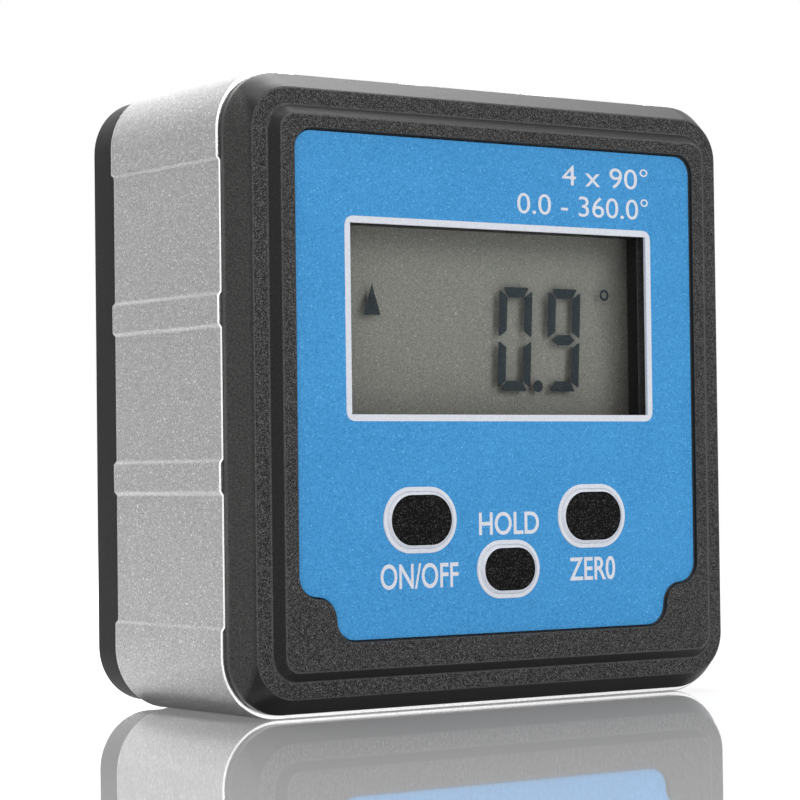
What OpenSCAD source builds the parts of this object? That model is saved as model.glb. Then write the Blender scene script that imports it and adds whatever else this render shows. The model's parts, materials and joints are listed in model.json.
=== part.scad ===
// Digital level box: an aluminium frame with magnets in its base, closed by two
// moulded covers, with a liquid crystal display and three keys behind a printed
// front label and two AAA cells behind a sliding door in the rear cover.
// The display faces -Y, Z is up, and the frame stands on z = 0. Millimetres.

/* [Frame] */
// Outside width and height of the frame
body_size = 60; // [60:1:80]
// Length of the extruded frame from front to rear
frame_depth = 19.3; // [19:0.1:30]
// Outside corner radius of the frame
corner_r = 6; // [5.5:0.5:7]
// Wall thickness of the frame
frame_wall = 3.2; // [3:0.1:3.4]
// Width of one shallow panel in the top or a side
panel_w = 12.6; // [11:0.1:13]
// Distance between the centres of two panels
panel_pitch = 15.28; // [14:0.02:16]
// Depth of a panel, with edges at 45 degrees
panel_depth = 0.3; // [0.1:0.05:0.5]

/* [Base magnets] */
// Diameter of a magnet
magnet_d = 10; // [6:0.5:10.5]
// Thickness of a magnet
magnet_t = 2.2; // [1:0.1:2.3]
// How far a magnet's face stays above the base
magnet_shy = 0.1; // [0.05:0.05:0.25]
// Gap between a magnet and the side of its pocket
magnet_clear = 0.05; // [0.02:0.01:0.1]

/* [Front cover] */
// How far the front cover stays inside the frame's outline
cover_inset = 0.43; // [0.2:0.01:0.8]
// Straight edge of the front cover beside the frame
front_edge_h = 0.75; // [0.5:0.05:1.5]
// Width of the sloped outer border
border_w = 1.56; // [1:0.02:2]
// Height of the sloped outer border
border_h = 2.22; // [1.5:0.02:3]
// Width of the flat ledge inside the border
ledge_w = 1.54; // [1:0.02:1.6]
// Width of the inner slope
step_w = 0.98; // [0.5:0.02:1.2]
// Height of the inner slope
step_h = 1.03; // [0.9:0.01:1.5]
// Thickness of the wall behind the label
web_t = 1.8; // [1.6:0.1:2]
// Thickness of the rims that plug into the frame
rim_t = 1.4; // [1:0.1:1.5]
// How far the rims reach into the frame
rim_depth = 2; // [1:0.1:3]
// Gap between a rim and the frame
rim_clear = 0.1; // [0.05:0.01:0.2]

/* [Front label] */
// Thickness of the label film
label_t = 0.3; // [0.2:0.05:0.35]
// How far the label's face lies below the front
label_sink = 0.4; // [0.36:0.02:0.6]
// Border of the cover left and right of the label
label_side = 1.62; // [1:0.02:3]
// Border of the cover above the label
label_top = 1.4; // [1:0.05:3]
// Border of the cover below the label
label_bottom = 2.65; // [1:0.05:4]
// Radius of the label's upper corners
label_r = 1.8; // [1:0.1:3]
// Rounded part of the label's shaped lower corners
swell_r = 2; // [1:0.1:2.5]
// Hollow part of the label's shaped lower corners
scoop_r = 2.1; // [1:0.1:3]
// Gap between the label and its pocket
label_clear = 0.15; // [0.05:0.01:0.3]

/* [Display] */
// Width of the display window
window_w = 35.8; // [30:0.1:36]
// Height of the display window
window_h = 17.8; // [14:0.1:18]
// Height of the window's centre above the body's centre
window_rise = 6.9; // [6.8:0.1:9]
// How far the window lies right of the body's middle
window_shift = 0.14; // [-0.3:0.02:0.3]
// Thickness of the clear window
lens_t = 1; // [0.6:0.1:1.2]
// How far the clear window reaches under the label
lens_lap = 1; // [0.5:0.1:1.5]
// Gap between the clear window and its pocket
lens_clear = 0.1; // [0.05:0.01:0.2]
// Depth of the display glass behind the label's face
glass_sink = 2.98; // [2.5:0.02:3.2]
// Thickness of each display glass
glass_t = 0.7; // [0.5:0.05:0.8]
// How far the glass reaches past the window
glass_lap = 2; // [1:0.1:2.2]
// Contact strip along the lower edge of the front glass
glass_shelf = 2.6; // [2:0.1:3]
// Thickness of the reflector film
reflector_t = 0.2; // [0.1:0.05:0.3]
// Wall of the display holder
holder_wall = 1.1; // [0.8:0.1:1.2]
// Gap between the display holder and the glass
holder_clear = 0.1; // [0.05:0.01:0.2]
// Wall of the glass's seat behind the window
seat_wall = 1.4; // [1:0.1:1.8]
// Width of the rubber contact strip
zebra_t = 2; // [1.5:0.1:2.2]

/* [Keys] */
// Distance of the outer keys from the middle key
key_pitch = 10.4; // [9.5:0.1:11]
// How far the keys lie right of the body's middle
key_shift = 0.2; // [-0.3:0.1:0.3]
// How far the outer keys lie below the body's centre
key_drop = 11.9; // [11.5:0.1:13]
// How far the middle key lies below the body's centre
hold_drop = 16.8; // [16:0.1:17.5]
// Width of an outer key
key_w = 7.5; // [6.5:0.1:9]
// Height of an outer key
key_h = 5.25; // [4.5:0.05:6.5]
// Width of the middle key
hold_w = 6.6; // [6:0.1:8]
// Height of the middle key
hold_h = 4.6; // [4.2:0.05:5.6]
// How far a key stands above the label
key_rise = 0.35; // [0.2:0.01:0.4]
// Chamfer round the top of a key
key_chamfer = 0.25; // [0.1:0.05:0.3]
// Gap between a key and the hole in the label
key_clear = 0.08; // [0.05:0.01:0.2]
// Raised rim of the label round a key
key_rim_w = 0.4; // [0.3:0.05:0.7]
// Height of that rim
key_rim_h = 0.12; // [0.05:0.01:0.15]
// How far a key travels
key_travel = 0.3; // [0.2:0.05:0.35]
// How far a key's flange reaches under the label
flange_lap = 0.5; // [0.3:0.05:0.7]
// Thickness of a key's flange
flange_t = 0.7; // [0.5:0.05:0.8]
// Diameter of a key's stem
stem_d = 3.2; // [2.5:0.1:3.4]
// Gap round moving pieces inside
slide_gap = 0.15; // [0.1:0.01:0.2]
// Play of a key at either end of its travel
key_play = 0.05; // [0.03:0.01:0.1]

/* [Board] */
// Thickness of the circuit board
board_t = 1.6; // [1:0.1:1.6]
// Distance from the front cover's wall to the board
board_drop = 5.1; // [5.1:0.1:6]
// Gap between the board and the frame
board_gap = 0.8; // [0.3:0.1:1]
// Width of a key switch
switch_w = 6; // [5:0.1:6.5]
// Height of a key switch without its plunger
switch_h = 3.5; // [3.1:0.1:3.6]
// Diameter of a switch plunger
plunger_d = 3.4; // [3:0.1:4]
// How far a plunger stands out of its switch
plunger_rise = 0.8; // [0.6:0.05:1]
// How far a plunger reaches into its switch
plunger_root = 1.4; // [1:0.1:1.6]
// Depth of the plunger's well in a switch
switch_well = 2; // [1.9:0.1:2.5]
// Distance of the board's posts from the middle
post_x = 23.6; // [23.5:0.1:24]
// How far the lower posts lie below the body's centre
post_low = 12; // [8:0.5:15]
// How far the upper posts lie above the body's centre
post_high = 14; // [8:0.5:15]
// Diameter of a board post
post_d = 3.6; // [3.4:0.1:3.8]

/* [Cells] */
// Diameter of a cell
cell_d = 10.5; // [9:0.1:12.6]
// Length of a cell with its nub
cell_l = 44.5; // [40:0.1:44.5]
// Diameter of a cell's nub
nub_d = 3.8; // [3:0.1:5]
// Length of a cell's nub
nub_l = 1; // [0.8:0.1:1.5]
// Gap between the two cells
cell_gap = 0.5; // [0.3:0.1:1]
// Gap between the cells and the bay
bay_clear = 0.3; // [0.2:0.05:0.5]
// Wall of the battery bay
bay_wall = 1.2; // [0.8:0.1:1.5]
// Thickness of a contact plate
contact_t = 0.3; // [0.2:0.05:0.4]
// Width of a contact plate
contact_w = 9; // [8:0.5:10]
// Width of a contact's solder tab
tab_w = 2.5; // [1.5:0.1:3]
// Length of a contact spring in the bay
spring_l = 3.9; // [3:0.1:4]
// Diameter of the spring wire
spring_wire = 0.6; // [0.4:0.05:0.8]
// Turns of a contact spring
spring_turns = 3.5; // [2.5:0.5:4.5]
// Gap between a solder tab and its slot
tab_clear = 0.1; // [0.05:0.01:0.2]
// Thickness of a rib that cradles the cells
cradle_t = 1.5; // [1:0.1:2]
// Height of such a rib
cradle_h = 3.5; // [2:0.1:4]
// Distance between such ribs
cradle_pitch = 14; // [10:0.5:16]

/* [Rear cover and door] */
// How far the rear cover stays inside the frame's outline
rear_inset = 0.5; // [0.2:0.05:0.8]
// Straight edge of the rear cover
rear_edge_h = 4.1; // [4:0.1:6]
// Chamfer round the back
rear_chamfer = 0.6; // [0.3:0.1:1]
// Thickness of the back
plate_t = 2.2; // [2:0.1:2.5]
// Thickness of the battery door
door_t = 1.6; // [1.5:0.1:1.7]
// How far the door laps over the bay
door_lap = 0.7; // [0.5:0.1:1]
// Width of the door's tongues
tongue_w = 1; // [0.6:0.1:1.4]
// Thickness of the door's tongues
tongue_t = 0.7; // [0.5:0.05:0.8]
// Gap round the door
door_clear = 0.15; // [0.1:0.01:0.25]
// Grooves in the door's grip
grip_count = 6; // [3:1:8]
// Distance between grip grooves
grip_pitch = 1.8; // [1.5:0.1:2.5]
// Depth of a grip groove
grip_depth = 0.35; // [0.2:0.05:0.5]
// Radius of a grip groove
grip_r = 0.6; // [0.5:0.05:0.8]
// Length of a grip groove
grip_l = 12; // [8:0.5:16]
// Distance of the first groove from the door's end
grip_margin = 3; // [2:0.5:6]
// Side of the sunk arrow that shows which way the door slides
arrow_side = 5; // [3:0.5:7]
// Depth of that arrow
arrow_depth = 0.3; // [0.2:0.05:0.5]
// Play of the door between the cover and its rails
door_play = 0.1; // [0.05:0.01:0.15]

/* [Screws] */
// Distance of the case screws from the frame's outside
screw_inset = 6.8; // [6.6:0.1:7]
// Diameter of a case screw
case_screw_d = 2.5; // [2:0.1:3]
// Length of a case screw below its head
case_screw_l = 15; // [12:0.5:18]
// Diameter of a case screw's head
case_head_d = 4.6; // [4:0.1:4.8]
// Height of a case screw's head
case_head_h = 1.6; // [1:0.1:2]
// Depth of the head's seat below the back
head_sink = 4.5; // [3:0.1:5]
// Diameter of a screw column in either cover
column_d = 6; // [5.8:0.1:6.4]
// Length of the rear cover's columns from the back
column_l = 12; // [8:0.5:14]
// Diameter of a board screw
board_screw_d = 1.8; // [1.5:0.1:2]
// Length of a board screw below its head
board_screw_l = 5; // [4:0.5:6]
// Diameter of a board screw's head
board_head_d = 3.4; // [3:0.1:3.6]
// Height of a board screw's head
board_head_h = 1.2; // [1:0.1:1.5]
// Length of a board screw's tapered end
board_screw_tip = 0.5; // [0.2:0.1:1]
// Length of a case screw's tapered end
case_screw_tip = 0.8; // [0.2:0.1:1.5]
// Gap between a screw and its hole
screw_clear = 0.05; // [0.03:0.01:0.1]
// Gap round a case screw's head
head_clear = 0.1; // [0.05:0.01:0.2]

/* [Hidden] */
$fn = 64;
// Steps in each arc of the label's outline
arc_steps = 10;
// How far a cut, or a shape that is joined on, runs past the face it meets
cut = 1;

// Heights
mid_z = body_size / 2;
window_z = mid_z + window_rise;

// Planes from front to rear
front_proud = front_edge_h + border_h + step_h;
rear_proud = rear_edge_h + rear_chamfer;
front_y = -(front_proud + frame_depth + rear_proud) / 2;
frame_front_y = front_y + front_proud;
frame_rear_y = frame_front_y + frame_depth;
back_y = frame_rear_y + rear_proud;
label_y = front_y + label_sink;
pocket_y = label_y + label_t;
web_y = pocket_y + web_t;
root_y = web_y - web_t / 2;
glass_y = label_y + glass_sink;
board_y = web_y + board_drop;
board_rear_y = board_y + board_t;
plate_y = back_y - plate_t;

// Outlines
front_w = body_size - 2 * cover_inset;
front_r = corner_r - cover_inset;
ledge_outer_w = front_w - 2 * border_w;
ledge_outer_r = front_r - border_w;
step_outer_w = ledge_outer_w - 2 * ledge_w;
step_outer_r = ledge_outer_r - ledge_w;
face_w = step_outer_w - 2 * step_w;
rear_w = body_size - 2 * rear_inset;
rear_r = corner_r - rear_inset;
hollow_w = body_size - 2 * frame_wall;
hollow_r = corner_r - frame_wall;
rim_outer_w = hollow_w - 2 * rim_clear;
rim_inner_w = rim_outer_w - 2 * rim_t;
rim_r = hollow_r - rim_clear;
rim_inner_r = rim_r - rim_t;

// Label
label_half = face_w / 2 - label_side;
label_low = mid_z - face_w / 2 + label_bottom;
label_high = mid_z + face_w / 2 - label_top;
corner_reach = 2 * swell_r + scoop_r;

// Display
lens_w = window_w + 2 * lens_lap;
lens_h = window_h + 2 * lens_lap;
glass_w = window_w + 2 * glass_lap;
glass_h = window_h + 2 * glass_lap;
glass_low = window_z - glass_h / 2;
rear_glass_y = glass_y + glass_t;
reflector_y = rear_glass_y + glass_t;
reflector_rear_y = reflector_y + reflector_t;

// Keys: name, x, z, width and height
on_off = [key_shift - key_pitch, mid_z - key_drop, key_w, key_h];
hold = [key_shift, mid_z - hold_drop, hold_w, hold_h];
zero = [key_shift + key_pitch, mid_z - key_drop, key_w, key_h];
keys = [on_off, hold, zero];
flange_y = pocket_y + key_play;
flange_rear_y = flange_y + flange_t;
well_y = flange_rear_y + key_travel + key_play;
plunger_top_y = board_y - switch_h - plunger_rise;

// Screws
screw_x = mid_z - screw_inset;
screw_places = [for (x = [-screw_x, screw_x], z = [-screw_x, screw_x]) [x, mid_z + z]];
post_places = [for (x = [-post_x, post_x], z = [-post_low, post_high]) [x, mid_z + z]];
column_end_y = back_y - column_l;
head_seat_y = back_y - head_sink;
board_w = hollow_w - 2 * board_gap;
board_notch_d = column_d + 2 * board_gap;

// Battery bay and door
door_y = back_y - door_t;
cell_y = door_y - bay_clear - cell_d / 2;
bay_floor_y = cell_y - cell_d / 2 - bay_clear;
bay_half = (cell_l + spring_l) / 2 + contact_t;
bay_half_h = cell_d + cell_gap / 2 + bay_clear;
cell_rise = (cell_d + cell_gap) / 2;
contact_y = cell_y - contact_w / 2;
door_half_h = bay_half_h + door_lap;
door_left = -bay_half - door_lap;
grip_x = door_left + grip_margin;
arrow_x = grip_x + (grip_count + 0.5) * grip_pitch;
arrow_l = arrow_side * sqrt(3) / 2;

// Magnets
magnet_places = [-panel_pitch, 0, panel_pitch];
magnet_top_z = magnet_shy + magnet_t;

// A flat outline in X and Z, given thickness from one Y plane to another
module slab(from_y, to_y) {
    translate([0, to_y, 0]) rotate([90, 0, 0]) linear_extrude(to_y - from_y) children();
}

module rounded_square(w, r) {
    square([w - 2 * r, w], center = true);
    square([w, w - 2 * r], center = true);
    for (x = [-1, 1], z = [-1, 1]) translate([x, z] * (w / 2 - r)) circle(r);
}

// The same outline, centred on the body
module body_square(w, r) {
    translate([0, mid_z]) rounded_square(w, r);
}

// A rounded square block that draws in evenly all round as it rises
module drawn_block(w, r, t, inset) {
    side = [[-w / 2, 0], [w / 2, 0], [w / 2 - inset, t], [inset - w / 2, t]];
    rotate([90, 0, 0]) linear_extrude(w - 2 * r, center = true) polygon(side);
    rotate([90, 0, 90]) linear_extrude(w - 2 * r, center = true) polygon(side);
    for (x = [-1, 1], z = [-1, 1])
        translate([x * (w / 2 - r), z * (w / 2 - r), 0]) cylinder(h = t, r1 = r, r2 = r - inset);
}

module obround(w, h) {
    square([w - h, h], center = true);
    for (x = [-1, 1]) translate([x * (w - h) / 2, 0]) circle(h / 2);
}

// An obround block that draws in evenly all round as it rises
module drawn_obround(w, h, t, inset) {
    side = [[-h / 2, 0], [h / 2, 0], [h / 2 - inset, t], [inset - h / 2, t]];
    rotate([90, 0, 90]) linear_extrude(w - h, center = true) polygon(side);
    for (x = [-1, 1])
        translate([x * (w - h) / 2, 0, 0]) cylinder(h = t, r1 = h / 2, r2 = h / 2 - inset);
}

// A round bar along Y
module rod(place, d, from_y, to_y) {
    translate([place[0], to_y, place[1]]) rotate([90, 0, 0]) cylinder(h = to_y - from_y, d = d);
}

function arc(c, r, a, b) =
    [for (i = [0:arc_steps]) c + r * [cos(a + (b - a) * i / arc_steps), sin(a + (b - a) * i / arc_steps)]];

function mirrored(points) = [for (i = [len(points) - 1:-1:0]) [-points[i][0], points[i][1]]];

// Right half of the label's outline, from the top to the bottom: a round upper corner,
// then a lower corner that swells, scoops in and swells again
function label_side_points(grow) = concat(
    arc([label_half - label_r, label_high - label_r], label_r + grow, 90, 0),
    arc([label_half - swell_r, label_low + corner_reach], swell_r + grow, 0, -90),
    arc([label_half - swell_r, label_low + swell_r], scoop_r - grow, 90, 180),
    arc([label_half - corner_reach, label_low + swell_r], swell_r + grow, 0, -90)
);

module label_outline(grow) {
    right = label_side_points(grow);
    polygon(concat(right, mirrored(right)));
}

module window_outline(grow) {
    translate([window_shift, window_z]) square([window_w + 2 * grow, window_h + 2 * grow], center = true);
}

module key_outline(key, grow) {
    translate([key[0], key[1]]) obround(key[2] + 2 * grow, key[3] + 2 * grow);
}

// One side's three shallow panels
module side_panels() {
    for (x = [-1:1]) translate([x * panel_pitch, 0])
        polygon([
            [-panel_w / 2 - cut, -cut], [panel_w / 2 + cut, -cut],
            [panel_w / 2 - panel_depth, panel_depth], [panel_depth - panel_w / 2, panel_depth]
        ]);
}

// Outline of the frame, with a flat base and panels in the other three sides
module frame_profile() {
    difference() {
        body_square(body_size, corner_r);
        body_square(hollow_w, hollow_r);
        for (a = [90:90:270])
            translate([0, mid_z]) rotate(a) translate([0, -mid_z]) side_panels();
    }
}

module magnet_shape(x, bottom_z, d) {
    translate([x, 0, bottom_z]) cylinder(h = magnet_top_z - bottom_z, d = d);
}

module frame() {
    color("#b4b6b8") difference() {
        slab(frame_front_y, frame_rear_y) frame_profile();
        for (x = magnet_places) magnet_shape(x, -cut, magnet_d + 2 * magnet_clear);
    }
}

module magnet(i) {
    color("#c9c9c6") magnet_shape(magnet_places[i], magnet_shy, magnet_d);
}

// Rim of a cover that plugs into the frame
module plug_rim(from_y, to_y) {
    slab(from_y, to_y) difference() {
        body_square(rim_outer_w, rim_r);
        body_square(rim_inner_w, rim_inner_r);
    }
}

module front_shell() {
    slab(frame_front_y - front_edge_h, frame_front_y) body_square(front_w, front_r);
    translate([0, frame_front_y - front_edge_h, mid_z]) rotate([90, 0, 0])
        drawn_block(front_w, front_r, border_h, border_w);
    translate([0, front_y + step_h, mid_z]) rotate([90, 0, 0])
        drawn_block(step_outer_w, step_outer_r, step_h, step_w);
}

module front_cover() {
    color("#2c2d2f") difference() {
        union() {
            difference() {
                front_shell();
                slab(web_y, frame_front_y + cut) body_square(rim_inner_w, rim_inner_r);
            }
            plug_rim(frame_front_y - cut, frame_front_y + rim_depth);
            slab(root_y, glass_y) window_outline(seat_wall);
            for (p = screw_places) rod(p, column_d, root_y, column_end_y);
            for (p = post_places) rod(p, post_d, root_y, board_y);
        }
        slab(front_y - cut, pocket_y) label_outline(label_clear);
        slab(pocket_y - cut, pocket_y + lens_t) window_outline(lens_lap + lens_clear);
        slab(pocket_y, glass_y + cut) window_outline(0);
        for (k = keys) {
            slab(pocket_y - cut, well_y) key_outline(k, flange_lap + slide_gap);
            rod(k, stem_d + 2 * slide_gap, well_y - cut, web_y + cut);
        }
        for (p = screw_places)
            rod(p, case_screw_d + 2 * screw_clear, web_y, column_end_y + cut);
        for (p = post_places) rod(p, board_screw_d + 2 * screw_clear, web_y, board_y + cut);
    }
}

module display_window() {
    color("#dfe8ea", 0.4) slab(pocket_y, pocket_y + lens_t) window_outline(lens_lap);
}

module front_label() {
    color("#4293d6") difference() {
        union() {
            slab(label_y, pocket_y) label_outline(0);
            for (k = keys) slab(label_y - key_rim_h, pocket_y) key_outline(k, key_clear + key_rim_w);
        }
        slab(label_y - cut, pocket_y + cut) window_outline(0);
        for (k = keys) slab(label_y - cut, pocket_y + cut) key_outline(k, key_clear);
    }
}

module glass_outline(low_z) {
    translate([-glass_w / 2, low_z]) square([glass_w, glass_low + glass_h - low_z]);
}

module lcd_front_glass() {
    color("#c8cfc4", 0.5) slab(glass_y, rear_glass_y) glass_outline(glass_low - glass_shelf);
}

module lcd_rear_glass() {
    color("#c8cfc4", 0.5) slab(rear_glass_y, reflector_y) glass_outline(glass_low);
}

module lcd_reflector() {
    color("#7d8079") slab(reflector_y, reflector_rear_y) glass_outline(glass_low);
}

// Open frame round the glass, with a ledge behind it and a slot for the rubber contact strip
module lcd_holder() {
    low = glass_low - glass_shelf - holder_clear;
    high = glass_low + glass_h + holder_clear;
    inner_w = glass_w + 2 * holder_clear;
    color("#232425") difference() {
        slab(glass_y, board_y) translate([-inner_w / 2 - holder_wall, low - holder_wall])
            square([inner_w + 2 * holder_wall, high - low + 2 * holder_wall]);
        slab(glass_y - cut, reflector_rear_y) translate([-inner_w / 2, low]) square([inner_w, high - low]);
        slab(reflector_rear_y - cut, board_y + cut) window_outline(0);
        slab(reflector_rear_y - cut, board_y + cut) translate([-inner_w / 2, low])
            square([inner_w, zebra_t + 2 * holder_clear]);
    }
}

module zebra_strip() {
    color("#c46a58") slab(rear_glass_y, board_y) translate([-glass_w / 2, glass_low - glass_shelf])
        square([glass_w, zebra_t]);
}

module key(k) {
    color("#e8e8e6") {
        translate([k[0], label_y - key_rise + key_chamfer, k[1]]) rotate([90, 0, 0])
            drawn_obround(k[2], k[3], key_chamfer, key_chamfer);
        slab(label_y - key_rise + key_chamfer, flange_y) key_outline(k, 0);
        slab(flange_y, flange_rear_y) key_outline(k, flange_lap);
        rod(k, stem_d, flange_rear_y, plunger_top_y);
    }
}

module plunger(k) {
    color("#d8d2c4") rod(k, plunger_d, plunger_top_y, plunger_top_y + plunger_rise + plunger_root);
}

module switch_body(k) {
    top_y = board_y - switch_h;
    color("#262728") difference() {
        slab(top_y, board_y) translate([k[0], k[1]]) square(switch_w, center = true);
        rod(k, plunger_d + 2 * slide_gap, top_y - cut, top_y + switch_well);
    }
}

// Square board with its corners cut away round the case columns
module main_board() {
    color("#2f6b3f") difference() {
        slab(board_y, board_rear_y) difference() {
            translate([0, mid_z]) square(board_w, center = true);
            for (x = [-1, 1], z = [-1, 1]) translate([x * screw_x, mid_z + z * screw_x]) {
                circle(d = board_notch_d);
                translate([x, z] * board_w / 4) square(board_w / 2, center = true);
            }
        }
        for (p = post_places)
            rod(p, board_screw_d + 2 * screw_clear, board_y - cut, board_rear_y + cut);
    }
}

// Flat package with a row of feet on each side
module controller_chip() {
    place = [-7, 9];
    body_w = 7;
    body_h = 1.4;
    stand = 0.15;
    foot = [1, 0.5, 0.3];
    feet = 9;
    foot_pitch = 0.7;
    color("#1c1c1d") translate([place[0], board_rear_y, mid_z + place[1]]) {
        translate([-body_w / 2, stand, -body_w / 2]) cube([body_w, body_h, body_w]);
        for (a = [0:90:270], i = [0:feet - 1])
            rotate([0, a, 0])
                translate([body_w / 2 - foot[0] / 4, 0, (i - (feet - 1) / 2) * foot_pitch - foot[2] / 2])
                    cube(foot);
    }
}

module tilt_sensor() {
    place = [6, -2];
    sensor_w = 4;
    sensor_h = 1.2;
    top_y = board_rear_y + sensor_h;
    dot_margin = 0.8;
    dot_d = 0.6;
    dot_depth = 0.1;
    color("#8f9296") difference() {
        slab(board_rear_y, top_y) translate([place[0], mid_z + place[1]]) square(sensor_w);
        rod([place[0] + dot_margin, mid_z + place[1] + dot_margin], dot_d, top_y - dot_depth, top_y + cut);
    }
}

// Small can lying on the board
module clock_crystal() {
    place = [-16, 6];
    can_d = 2;
    can_l = 6;
    color("#b9bbbd") translate([place[0], board_rear_y + can_d / 2, mid_z + place[1]])
        cylinder(h = can_l, d = can_d);
}

module chip_capacitors() {
    place = [-14, -8];
    chip = [2, 1.2, 1.25];
    chip_count = 6;
    chip_pitch = 4;
    color("#b48f63") for (i = [0:chip_count - 1])
        translate([place[0] + i * chip_pitch, board_rear_y, mid_z + place[1]]) cube(chip);
}

module screw(place, seat_y, d, l, head_d, head_h, tip) {
    rod(place, head_d, seat_y, seat_y + head_h);
    rod(place, d, seat_y - l + tip, seat_y);
    translate([place[0], seat_y - l + tip, place[1]]) rotate([90, 0, 0])
        cylinder(h = tip, d1 = d, d2 = d / 2);
}

module board_screws() {
    color("#a9abad") for (p = post_places)
        screw(
            p, board_rear_y, board_screw_d, board_screw_l,
            board_head_d, board_head_h, board_screw_tip
        );
}

module case_screws() {
    color("#a9abad") for (p = screw_places)
        screw(
            p, head_seat_y, case_screw_d, case_screw_l,
            case_head_d, case_head_h, case_screw_tip
        );
}

module rear_shell() {
    slab(frame_rear_y, frame_rear_y + rear_edge_h) body_square(rear_w, rear_r);
    translate([0, back_y - rear_chamfer, mid_z]) rotate([-90, 0, 0])
        drawn_block(rear_w, rear_r, rear_chamfer, rear_chamfer);
}

module bay_block(grow, from_y, to_y) {
    slab(from_y, to_y) translate([0, mid_z])
        square([2 * (bay_half + grow), 2 * (bay_half_h + grow)], center = true);
}

// Room for the door and its tongues, open to the right
module door_way() {
    reach = rear_w;
    slab(door_y - door_play, back_y + cut)
        translate([door_left - door_clear, mid_z - door_half_h - door_clear])
            square([reach, 2 * (door_half_h + door_clear)]);
    slab(door_y - door_play, door_y + tongue_t + door_play)
        translate([door_left - door_clear, mid_z - door_half_h - tongue_w - door_clear])
            square([reach, 2 * (door_half_h + tongue_w + door_clear)]);
}

module cradle(x) {
    translate([x - cradle_t / 2, bay_floor_y - cut, mid_z - bay_half_h])
        cube([cradle_t, cradle_h + cut, 2 * bay_half_h]);
}

module cell_room(side) {
    translate([-bay_half, cell_y, mid_z + side * cell_rise]) rotate([0, 90, 0])
        cylinder(h = 2 * bay_half, d = cell_d + bay_clear);
}

module tab_slot_cut(side) {
    slot_w = tab_w + 2 * tab_clear;
    translate([-bay_half - tab_clear, bay_floor_y - bay_wall - cut, mid_z + side * cell_rise - slot_w / 2])
        cube([contact_t + 2 * tab_clear, bay_wall + 2 * cut, slot_w]);
}

module rear_cover() {
    color("#303133") difference() {
        union() {
            difference() {
                rear_shell();
                slab(frame_rear_y - cut, plate_y) body_square(rim_inner_w, rim_inner_r);
            }
            plug_rim(frame_rear_y - rim_depth, frame_rear_y + cut);
            difference() {
                bay_block(bay_wall, bay_floor_y - bay_wall, plate_y + cut);
                bay_block(0, bay_floor_y, back_y);
            }
            difference() {
                for (i = [-1:1]) cradle(i * cradle_pitch);
                for (side = [-1, 1]) cell_room(side);
            }
            for (p = screw_places) rod(p, column_d, column_end_y, plate_y + cut);
        }
        bay_block(0, plate_y - cut, back_y + cut);
        door_way();
        for (side = [-1, 1]) tab_slot_cut(side);
        for (p = screw_places) {
            rod(p, case_head_d + 2 * head_clear, head_seat_y, back_y + cut);
            rod(p, case_screw_d + 2 * screw_clear, column_end_y - cut, back_y);
        }
    }
}

// The side is 1 where the nub points right and -1 where it points left
module cell(side) {
    can_l = cell_l - nub_l;
    bead = 0.4;
    color("#6f7478") translate([side * (contact_t - bay_half), cell_y, mid_z + side * cell_rise])
        rotate([0, 90 * side, 0]) translate([0, 0, spring_l]) rotate_extrude() polygon([
            [0, 0], [cell_d / 2 - bead, 0], [cell_d / 2, bead],
            [cell_d / 2, can_l - bead], [cell_d / 2 - bead, can_l], [nub_d / 2, can_l],
            [nub_d / 2, cell_l], [0, cell_l]
        ]);
}

module contact_plate(x, low_z, high_z) {
    translate([x, contact_y, low_z]) cube([contact_t, contact_w, high_z - low_z]);
}

module tabbed_contact(side) {
    z = mid_z + side * cell_rise;
    color("#c7c6c0") {
        contact_plate(-bay_half, z - contact_w / 2, z + contact_w / 2);
        translate([-bay_half, board_rear_y, z - tab_w / 2])
            cube([contact_t, contact_y - board_rear_y + cut, tab_w]);
    }
}

module bridge_contact() {
    reach = cell_rise + contact_w / 2;
    color("#c7c6c0") contact_plate(bay_half - contact_t, mid_z - reach, mid_z + reach);
}

// Cone of wire that presses a cell against its other contact
module spring(side) {
    wide_r = 3.4;
    narrow_r = 2.4;
    per_turn = 16;
    sides = 8;
    rings = spring_turns * per_turn;
    wire_r = spring_wire / 2;
    function ring_point(i, k) =
        let (t = i / rings, a = 360 * i / per_turn, b = 360 * k / sides)
        let (r = wide_r + (narrow_r - wide_r) * t + wire_r * cos(b))
        [r * cos(a), r * sin(a), wire_r + (spring_l - spring_wire) * t + wire_r * sin(b)];
    points = [for (i = [0:rings], k = [0:sides - 1]) ring_point(i, k)];
    walls = [for (i = [0:rings - 1], k = [0:sides - 1])
        let (n = (k + 1) % sides)
        [i * sides + k, (i + 1) * sides + k, (i + 1) * sides + n, i * sides + n]];
    ends = [[for (k = [0:sides - 1]) k], [for (k = [sides - 1:-1:0]) rings * sides + k]];
    color("#c7c6c0") translate([side * (contact_t - bay_half), cell_y, mid_z + side * cell_rise])
        rotate([0, 90 * side, 0]) polyhedron(points, concat(walls, ends));
}

module battery_door() {
    color("#2c2d2f") difference() {
        intersection() {
            union() {
                slab(door_y, back_y) translate([door_left, mid_z - door_half_h])
                    square([rear_w, 2 * door_half_h]);
                slab(door_y, door_y + tongue_t) translate([door_left, mid_z - door_half_h - tongue_w])
                    square([rear_w, 2 * (door_half_h + tongue_w)]);
            }
            rear_shell();
        }
        for (i = [0:grip_count - 1])
            translate([grip_x + i * grip_pitch, back_y + grip_r - grip_depth, mid_z - grip_l / 2])
                cylinder(h = grip_l, r = grip_r);
        slab(back_y - arrow_depth, back_y + cut) translate([arrow_x, mid_z])
            polygon([[0, -arrow_side / 2], [arrow_l, 0], [0, arrow_side / 2]]);
    }
}

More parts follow.
